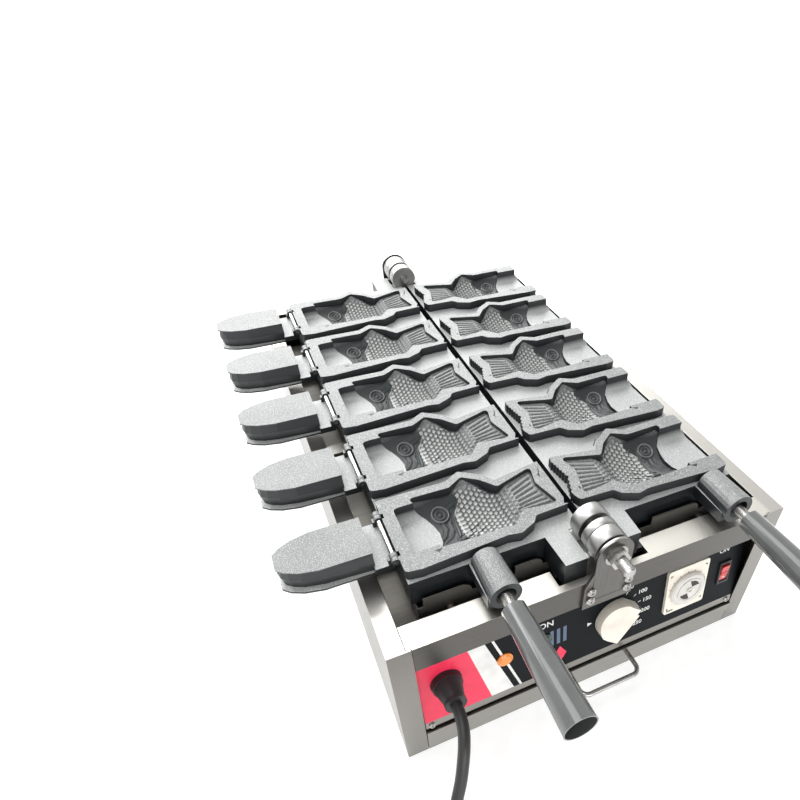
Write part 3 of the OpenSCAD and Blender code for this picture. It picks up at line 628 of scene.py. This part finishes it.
def relief(x, y):
    """Carving above the floor: scales, gill and eye rings, fin and tail rays."""
    head = step(-2.5, 1.0, x - np.interp(y, *HEAD_LINE))
    body = step(-1.5, 1.5, x - np.interp(y, *ROOT_LINE))
    h = 0.75 * body + scale_rows(x, y) * body * (1 - head)

    # Ridge along the back, and the comb of the back's fin above it
    h += 1.1 * gauss(segment_distance(x, y, SCALE_EDGE), 1.1) * step(60, 64, y)
    comb = 0.5 + 0.5 * np.cos(math.tau * (x + 0.6 * (y - 70)) / 3.0)
    above = step(0, 2.2, y - np.interp(x, *BACK_LINE))
    h = h * (1 - above) + 1.3 * comb * above * step(56, 60, x) * (1 - head)

    # Eye rings on a flat lid, and the gill lines with a groove on each side
    d = np.hypot(x - EYE[0], y - EYE[1])
    lid = 1 - step(*EYE_LID, d)
    rings = sum(high * gauss(d - r, half) for r, high, half in EYE_RINGS)
    h = h * (1 - lid) + (0.4 + rings) * lid
    for line, high, half in GILLS:
        near = segment_distance(x, y, line)
        h += (high * gauss(near, half) - 0.5 * gauss(near - 2.1, 0.8)) * (1 - 0.85 * lid)

    # Side fin: strokes between two grooves
    strokes = 0.9 + 0.5 * np.cos(math.tau * (y + 0.4 * x) / 2.6)
    h = np.where(inside(x, y, FIN_TOP + FIN_BOTTOM[::-1]), 0.8 + strokes, h)
    h -= 1.9 * gauss(segment_distance(x, y, FIN_TOP), 0.8)
    h -= 1.1 * gauss(segment_distance(x, y, FIN_BOTTOM), 0.7)

    # Grooves between the tail's rays, and the comb behind the belly
    rays = np.zeros(x.shape)
    for a, b in TAIL_RAYS:
        rays = np.maximum(rays, gauss(segment_distance(x, y, [a, b]), RAY_HALF))
    h += 2.0 * (1 - rays) * (1 - body) * step(0, 3, x - 14)
    for a, b in BELLY_COMB:
        h -= 1.2 * gauss(segment_distance(x, y, [a, b]), 0.8)
    return np.maximum(h, -0.1)


def cavity_outline():
    """Outline of the carved floor: the fish without its mouth, which ends at the lip."""
    fish = resample(rounded(FISH, 3, 3), 1.1)
    mouth = [x > LIP[0][0] and y < 70.6 for x, y in fish]
    first = mouth.index(True)
    fish, mouth = fish[first:] + fish[:first], mouth[first:] + mouth[:first]
    return LIP + [q for q, gone in zip(fish, mouth) if not gone]


def triangulate(points, loop):
    """Triangles of a flat outline, whose edges are in loop, with the points inside it."""
    verts, _, faces, *_ = delaunay_2d_cdt([Vector(q) for q in points], loop, [], 1, 1e-4)
    return verts, [tuple(f) for f in faces]


def carved_floor(name, side):
    """Closed inlay that fills the cavity's floor up to the carved surface."""
    edge = cavity_outline()
    n_edge = len(edge)
    gx, gy = np.meshgrid(np.arange(*GRID_X, GRID), np.arange(*GRID_Y, GRID))
    gx, gy = gx.ravel(), gy.ravel()
    ok = inside(gx, gy, edge)
    gx, gy = gx[ok], gy[ok]
    ok = segment_distance(gx, gy, edge, True) > GRID_CLEAR
    loop = [(i, (i + 1) % n_edge) for i in range(n_edge)]
    verts, faces = triangulate(edge + list(zip(gx[ok], gy[ok])), loop)
    x = np.array([v.x for v in verts])
    y = np.array([v.y for v in verts])
    d = segment_distance(x, y, edge[len(LIP):] + [edge[0]])
    hollow = FILLET - np.sqrt(np.maximum(0, FILLET ** 2 - (FILLET - d) ** 2))
    fillet = np.where(d < FILLET, hollow, 0)
    blend = step(*TAIL_TO_BOWL, x)
    floor = TAIL_Z * (1 - blend) + bowl(x, y) * blend
    calm = step(*CALM, d)
    raised_by = relief(x, y) * calm
    z = np.minimum(floor + COVER + fillet + raised_by, RIM_Z - 0.3)
    # Painted highlights: the middles of the scales and the tops of the other lines are painted
    # lighter
    rows = scale_rows(x, y)
    on_scale = inside(x, y, SCALE_EDGE + GILLS[0][0][::-1]) & (rows > 0.05)
    painted_glint = np.where(on_scale, 1 - step(0.35, 1.3, rows), 0.7 * step(1.5, 2.7, raised_by)) * calm
    n = len(verts)
    top = [(side * a * MM, b * MM, c * MM) for a, b, c in zip(x, y, z)]
    under = [(side * a * MM, b * MM, INLAY_BOTTOM * MM) for a, b in edge]
    faces += [(i, n + i, n + j, j) for i, j in loop]
    faces += [tuple(n + i for i in reversed(f)) for f in triangulate(edge, loop)[1]]
    if side < 0:
        faces = [tuple(reversed(f)) for f in faces]
    mesh = bpy.data.meshes.new(name)
    mesh.from_pydata(top + under, [], faces)
    # The painted highlights go on the mesh for the carving's material
    glint_layer = mesh.attributes.new("painted_glint", "FLOAT", "POINT")
    glint_layer.data.foreach_set("value", np.append(painted_glint, np.zeros(n_edge)))
    mesh.validate()
    mesh.update()
    for f in mesh.polygons:
        f.use_smooth = True
    mesh.materials.append(MATERIALS["carving"])
    return mesh


def carve_moulds():
    """One carved inlay in each cavity, all of a side sharing their mesh."""
    for word, side in (("left", -1), ("right", 1)):
        mesh = carved_floor(word + "_relief", side)
        for k in range(FISH_N):
            piece = link("%s_relief_%d" % (word, k + 1), mesh)
            piece.location = (0, (ROW_Y + k * PITCH) * MM, 0)
            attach(piece, word + "_mould")


# Tail ends of the rims, in mm. Those of the left mould, found by their place in the cell, go
# straight along one x, with their near corner cut back. Those of the right mould are fluted
# along two lines, each with its number of flutes.
TAIL_WALL_X, TAIL_WALL_Y = (2.5, 11.5), (15, 76)
LEFT_TAIL_X = 6.5
NEAR_CORNER_Y = 22
# The solid's vertices nearer the hinge line than this are the slot's edges, and the castings
# have them at these x
SLOT_NEAR = 2.6
SLOT_EDGE = {"left": -4.0, "right": 3.1}
FLUTES = [((6.0, 71.4), (10.5, 43.9), 6), ((10.5, 43.9), (3.0, 21.3), 4)]
FLUTE_STEPS = 6
FLUTE_DEEP = 1.15
SKIN_IN = 0.6
CAST_ROUND = 0.7


def cast_mould(word):
    """Casting of one mould: the solid with its slot edge and its left rims' tail ends as cast, and
    its edges rounded."""
    source = NODES[word + "_mould"]
    bm = bmesh.new()
    bm.from_mesh(source.data)
    bm.transform(source.matrix_world)
    bmesh.ops.remove_doubles(bm, verts=bm.verts, dist=WELD)
    bmesh.ops.dissolve_limit(bm, angle_limit=math.radians(0.5), verts=bm.verts, edges=bm.edges)
    for v in bm.verts:
        x, z = abs(v.co.x) / MM, v.co.z / MM
        y = (v.co.y / MM - ROW_Y) % PITCH
        on_tail = TAIL_WALL_X[0] < x < TAIL_WALL_X[1] and TAIL_WALL_Y[0] < y < TAIL_WALL_Y[1]
        if word == "left" and on_tail and z > RIM_Z - 11:
            v.co.x = -(LEFT_TAIL_X + max(0, NEAR_CORNER_Y - y) * 0.5) * MM
        elif x < SLOT_NEAR:
            v.co.x = SLOT_EDGE[word] * MM
    mesh = bpy.data.meshes.new(word + "_casting")
    bm.to_mesh(mesh)
    bm.free()
    if "custom_normal" in mesh.attributes:
        mesh.attributes.remove(mesh.attributes["custom_normal"])
    mesh.materials.clear()
    for face in mesh.polygons:
        face.use_smooth = False
        face.material_index = 0
    piece = link(word + "_casting", mesh)
    own(piece, word + "_mould", "casting")
    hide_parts(word + "_mould")
    soften(piece, CAST_ROUND)


def beside(a, b, t, out):
    """Point at the share t of the line from a to b, moved out to the line's right."""
    dx, dy = b[0] - a[0], b[1] - a[1]
    d = math.hypot(dx, dy)
    return (a[0] + dx * t + out * dy / d, a[1] + dy * t - out * dx / d)


def tail_flutes():
    """Wavy outer skin on the tail end of each right rim."""
    skins = []
    for k in range(FISH_N):
        for a, b, count in FLUTES:
            steps = count * FLUTE_STEPS
            points = [beside(a, b, 0.05 + 0.9 * i / steps,
                             FLUTE_DEEP * abs(math.sin(math.pi * count * i / steps)) + 0.05)
                      for i in range(steps + 1)]
            points += [beside(a, b, t, -SKIN_IN) for t in (0.95, 0.05)]
            placed = [(x, y + ROW_Y + k * PITCH) for x, y in points]
            skins.append(prism("skin", placed[::-1], level(WEB_Z - 0.2), level(RIM_Z - 0.1)))
    own(join("right_flutes", skins), "right_mould", "casting")


# Marks on the castings in one cell, and the levels of their undersides and tops
WEDGE = [(121.5, 11.2), (128.5, 10.6), (125.6, 7.4)]
# Dark teardrop drawn beside each left tail
TEAR = [(9.8, 67.2), (10.6, 61.2), (12.6, 59), (14.6, 57.4), (13.6, 55), (15.4, 47.4), (13.8, 53.2),
        (12.6, 55.5), (11.9, 59.6), (10.9, 61.5)]
PIT = [(12.5 + 0.9 * math.cos(a), 27.2 + 2.1 * math.sin(a))
       for a in np.linspace(0, math.tau, 10, endpoint=False)]
SEAM = [(59.6, 82.0), (60.4, 81.4), (68.2, 90.2), (67.5, 90.6)]
RIM_TOP = (195.5, 195.92)
WEB_TOP = (185.6, 186.08)
MARKS = {"left": [(WEDGE, RIM_TOP), (TEAR, RIM_TOP)],
         "right": [(WEDGE, RIM_TOP), (PIT, RIM_TOP), (SEAM, WEB_TOP)]}


def dark_marks():
    """Dark vents beside each mouth, dark marks beside the tails and short seams on the web."""
    for word, side in (("left", -1), ("right", 1)):
        marks = []
        for k in range(FISH_N):
            y0 = ROW_Y + k * PITCH
            for shape, (low, high) in MARKS[word]:
                if shape is SEAM and k == FISH_N - 1:
                    continue
                placed = [(side * a, y0 + b) for a, b in shape][::side]
                marks.append(prism("mark", placed, level(low), level(high)))
        own(join(word + "_dark_marks", marks), word + "_mould", "ink")


# Screw threads

PITCH_OF_THREAD = 1.25
THREAD_DEEP = 0.5
# Name, x, z, start and end in y, radius and body of each thread, in mm
THREADS = [("left_thread", -93, 187.5, -284.5, -302.6, 4.5, "left_mould"),
           ("right_thread", 131, 187.5, -284.5, -302.6, 4.5, "right_mould"),
           ("pin_thread", 0, HINGE_Z, -303.5, -315, 5.0, "base")]


def turned(name, x, z, profile, body, material, n=28):
    """Closed turned piece about a line along Y, from (y, radius) steps."""
    turns = [math.tau * i / n for i in range(n)]
    verts = [((x + r * math.cos(a)) * MM, y * MM, (z + r * math.sin(a)) * MM)
             for y, r in profile for a in turns]
    faces = [(j * n + i, (j + 1) * n + i, (j + 1) * n + (i + 1) % n, j * n + (i + 1) % n)
             for j in range(len(profile) - 1) for i in range(n)]
    faces += [tuple(range(n)), tuple(reversed(range((len(profile) - 1) * n, len(profile) * n)))]
    return own(mesh_object(name, verts, faces, True), body, material)


def thread(name, x, z, start, end, r, body):
    """Screw thread on a stud, as rings of its pitch."""
    count = round((start - end) / PITCH_OF_THREAD)
    root, crest = r + 0.03, r + THREAD_DEEP
    profile = []
    for i in range(count):
        y = start - (start - end) * i / count
        profile += [(y, root), (y - 0.5, crest), (y - 0.75, crest)]
    turned(name, x, z, profile + [(end, root)], body, "bright")


# Panel print and dial faces, in mm: x as in the frame, w up the leaning panel and h out of it.

LEAN = math.radians(7.5)
PANEL_Y, PANEL_Z = -291.5, 37.0
PRINT_HALF = 169.6
PRINT_LOW, PRINT_HIGH = 8.7, 99.5
PRINT_BASE, PRINT_THICK = 0.02, 0.09
# Thermostat knob: its middle, and the outline, turn and height of the dark bar at its tip
KNOB = (23, 50)
KNOB_TIP_BAR = (14.6, -10.9, 21.4, -7.6)
KNOB_TURN = math.radians(50)
KNOB_FACE = (8.98, 9.4)
# Timer: its middle and face, the ink in the housing's corners and below the dial, and the dial's
# face, with its dark fields' inner point and outer arc as (radius, angle)
TIMER = (102.5, 53.0)
TIMER_FACE = 3.0
TIMER_CORNER = [(18.5, 23.5), (21.5, 23.5), (21.5, 20.5)]
TIMER_LINE = (-21, -26.2, -13, -24.6)
DIAL_FACE = 7.5
FIELD_TURNS = (0.35, 0.35 + math.pi)
FIELD_INNER = (4.2, 0.6)
FIELD_OUTER = (11.5, 1.25)
# Switch: its middle, and its mark's half width and span across the rocker
SWITCH = (150.5, 50.0)
ROCKER_MARK = (1.6, -6.8, -5.4)
# What a letter's height is multiplied by to give the font's size
LETTER = 1.38


def on_panel(x, w, h=0.0):
    """Frame point of a place on the panel."""
    y = PANEL_Y + w * math.sin(LEAN) - h * math.cos(LEAN)
    z = PANEL_Z + w * math.cos(LEAN) + h * math.sin(LEAN)
    return (x * MM, y * MM, z * MM)


def raised(points, low, high, name="mark"):
    """Flat piece between two heights over the panel."""
    return prism(name, points, lambda x, w: on_panel(x, w, low), lambda x, w: on_panel(x, w, high))


def printed(name, points, material):
    """Thin field of colour on the panel."""
    piece = raised(points, PRINT_BASE, PRINT_BASE + PRINT_THICK, name)
    return own(piece, "base", material)


def lettering(name, entries, material, base=0.1):
    """Plain numbers and ON marks, each entry (words, x, w, height)."""
    upright = Matrix.Rotation(math.pi / 2 - LEAN, 4, "X")
    pieces = []
    for words, x, w, size in entries:
        font = bpy.data.curves.new("line", "FONT")
        font.body = words
        font.size = size * LETTER * MM
        font.align_x = font.align_y = "CENTER"
        font.extrude = 0.00006
        font.offset = 0.00009
        text = link("line", font)
        text.matrix_world = Matrix.Translation(on_panel(x, w, base)) @ upright
        bpy.context.view_layer.update()
        solid = text.evaluated_get(bpy.context.evaluated_depsgraph_get())
        mesh = bpy.data.meshes.new_from_object(solid)
        mesh.transform(text.matrix_world)
        bpy.data.objects.remove(text)
        bpy.data.curves.remove(font)
        pieces.append(link("word", mesh))
    return own(join(name, pieces), "base", material)


def turned_points(points, x, w, angle):
    """Points turned by an angle and moved to (x, w)."""
    c, s = math.cos(angle), math.sin(angle)
    return [(x + a * c - b * s, w + a * s + b * c) for a, b in points]


def radial(center, r, angle, length, half):
    """Outline of a short bar that points away from a centre at the radius r."""
    x, w = center
    return turned_points(box(0, -half, length, half), x + r * math.cos(angle),
                         w + r * math.sin(angle), angle)


def print_panel():
    """Plain fields of colour, a scale of numbers round the knob and two ON marks."""
    printed("panel_strip", box(-PRINT_HALF, 0.2, PRINT_HALF, PRINT_LOW - 0.1), "steel_x")
    for name, low_left, low_right, high_right, high_left, material in (
            ("print_red_field", -PRINT_HALF, -106, -128, -PRINT_HALF, "print_red"),
            ("print_white_band", -106, -84, -114, -128, "print_white"),
            ("print_white_line", -78, -75.6, -105.6, -108, "print_white")):
        printed(name, [(low_left, PRINT_LOW), (low_right, PRINT_LOW), (high_right, PRINT_HIGH),
                       (high_left, PRINT_HIGH)], material)
    printed("print_lozenge", [(-36, 16), (-29, 27.5), (-36, 39), (-43, 27.5)], "print_red")
    for i in range(3):
        x = -46 + 6.6 * i
        printed("print_bar_%d" % (i + 1), box(x, 44, x + 3.4, 64), "print_blue")
    printed("knob_mark", [(-7.5, 50.6), (-2.6, 53), (-7.5, 55.4)], "print_white")
    ticks = [raised(radial(KNOB, 25.2, a, 3.2, 0.35), PRINT_BASE, 0.12)
             for a in np.radians([66, 41, 14, -14, -40])]
    own(join("knob_ticks", ticks), "base", "print_white")
    lettering("knob_numbers", [("50", 37.2, 81, 5), ("100", 51.5, 69.5, 5), ("150", 57.6, 56.2, 5),
                               ("200", 57.2, 41.6, 5), ("250", 49.5, 26.6, 5)], "print_white")
    lettering("switch_words", [("ON", -50, 74.5, 7), ("ON", 146, 80.5, 5.5)], "print_white")
    dial_faces()


def ring(x, w, inner, outer, low, high, n=48):
    """Flat ring on the panel, as one closed mesh."""
    turns = [math.tau * i / n for i in range(n)]
    verts = [on_panel(x + r * math.cos(a), w + r * math.sin(a), h)
             for r, h in ((inner, low), (outer, low), (outer, high), (inner, high)) for a in turns]
    faces = [(j * n + i, j * n + (i + 1) % n, (j + 1) % 4 * n + (i + 1) % n, (j + 1) % 4 * n + i)
             for j in range(4) for i in range(n)]
    return mesh_object("ring", verts, faces, False)


def dial_faces():
    """Scale round the timer's dial, the dial's two dark fields and rings, the dark bar at the
    knob's tip and the rocker's mark.
    """
    x, w = TIMER
    low, high = TIMER_FACE - 0.02, TIMER_FACE + 0.08
    marks = [raised(radial(TIMER, 20.2, a, 1.8, 0.25), low, high)
             for a in np.radians(np.arange(-50, 240, 24))]
    for sx in (-1, 1):
        for sw in (-1, 1):
            corner = [(x + sx * a, w + sw * b) for a, b in TIMER_CORNER]
            marks.append(raised(corner[::sx * sw], low, high))
    line = [(x + a, w + b) for a, b in box(*TIMER_LINE)]
    marks.append(raised(line, low, high))
    own(join("timer_scale", marks), "base", "ink")

    low, high = DIAL_FACE - 0.02, DIAL_FACE + 0.1
    fields = []
    (in_r, in_angle), (out_r, sweep) = FIELD_INNER, FIELD_OUTER
    for turn in FIELD_TURNS:
        arc = [(out_r * math.cos(a), out_r * math.sin(a)) for a in np.linspace(0.0, sweep, 9)]
        inner = (in_r * math.cos(in_angle), in_r * math.sin(in_angle))
        fields.append(raised(turned_points([inner] + arc, x, w, turn), low, high))
    own(join("dial_fields", fields), "timer_dial", "ink")

    # Dark bar on the knob's face at its tip
    tip_bar = turned_points(box(*KNOB_TIP_BAR), *KNOB, KNOB_TURN)
    own(raised(tip_bar, *KNOB_FACE, "knob_pointer"), "thermostat_knob", "ink")

    middle, across = SWITCH
    half, start, end = ROCKER_MARK
    bar = box(middle - half, across + start, middle + half, across + end)

    def on_rocker(h):
        """The rocker's face rises with w."""
        return lambda x, w: on_panel(x, w, h + 0.08 * (w - across + 10))

    own(prism("rocker_mark", bar, on_rocker(1.15), on_rocker(1.32)), "switch_rocker",
        "print_white")
    rings = [ring(x, w, 12.6, 14.4, low, DIAL_FACE + 0.7),
             ring(x, w, 2.0, 3.4, low, DIAL_FACE + 1.2)]
    own(join("dial_rings", rings), "timer_dial", "dial")


# Stage and lights, in metres and watts

STAGE_HALF = 60
SWEEP_START, SWEEP_END = (8, 0), (10, 2)
SWEEP_TOP = 24
LIGHTS = [("back", (-0.3, 2.2, 1.7), (0, 0, 0.15), (4.0, 2.2), 140),
          ("top", (-0.6, 0.2, 2.4), (0, 0, 0.15), (1.6, 1.6), 22),
          ("fill", (-1.8, -1.2, 1.6), (0, 0, 0.1), (1.4, 1.4), 6),
          ("front", (-0.2, -2.6, 0.9), (0, -0.3, 0.08), (2.2, 1.2), 28)]


def make_stage():
    """Pale floor that sweeps up behind the object."""
    line = [(-STAGE_HALF, 0), SWEEP_START, SWEEP_END, (SWEEP_END[0], SWEEP_TOP)]
    corners = [(x, y, z) for y, z in line for x in (-STAGE_HALF, STAGE_HALF)]
    faces = [(i, i + 1, i + 3, i + 2) for i in (0, 2, 4)]
    floor = mesh_object("floor", corners, faces, False)
    floor.location.z = -0.0005
    paper = moulded("floor_paper", (0.5, 0.5, 0.495), 0.8, 200)
    look = paper.node_tree.nodes["Principled BSDF"]
    look.inputs["Emission Color"].default_value = (1, 1, 1, 1)
    look.inputs["Emission Strength"].default_value = 0.7
    look.inputs["Specular IOR Level"].default_value = 0.0
    floor.data.materials.append(paper)
    world = bpy.data.worlds.new("studio")
    world.use_nodes = True
    sky = world.node_tree.nodes["Background"]
    sky.inputs["Color"].default_value = (1.0, 0.99, 0.97, 1)
    sky.inputs["Strength"].default_value = 0.4
    bpy.context.scene.world = world
    bpy.context.scene.view_settings.view_transform = "Standard"


def area_light(name, at, to, size, power):
    """Rectangular light at one point, turned to another."""
    data = bpy.data.lights.new(name, "AREA")
    data.shape = "RECTANGLE"
    data.size, data.size_y = size
    data.energy = power
    lamp = link(name, data)
    lamp.location = at
    lamp.rotation_euler = (Vector(to) - Vector(at)).to_track_quat("-Z", "Y").to_euler()


dress_cad()
make_cord()
cast_mould("left")
cast_mould("right")
tail_flutes()
carve_moulds()
dark_marks()
for entry in THREADS:
    thread(*entry)
print_panel()
make_stage()
for entry in LIGHTS:
    area_light(*entry)
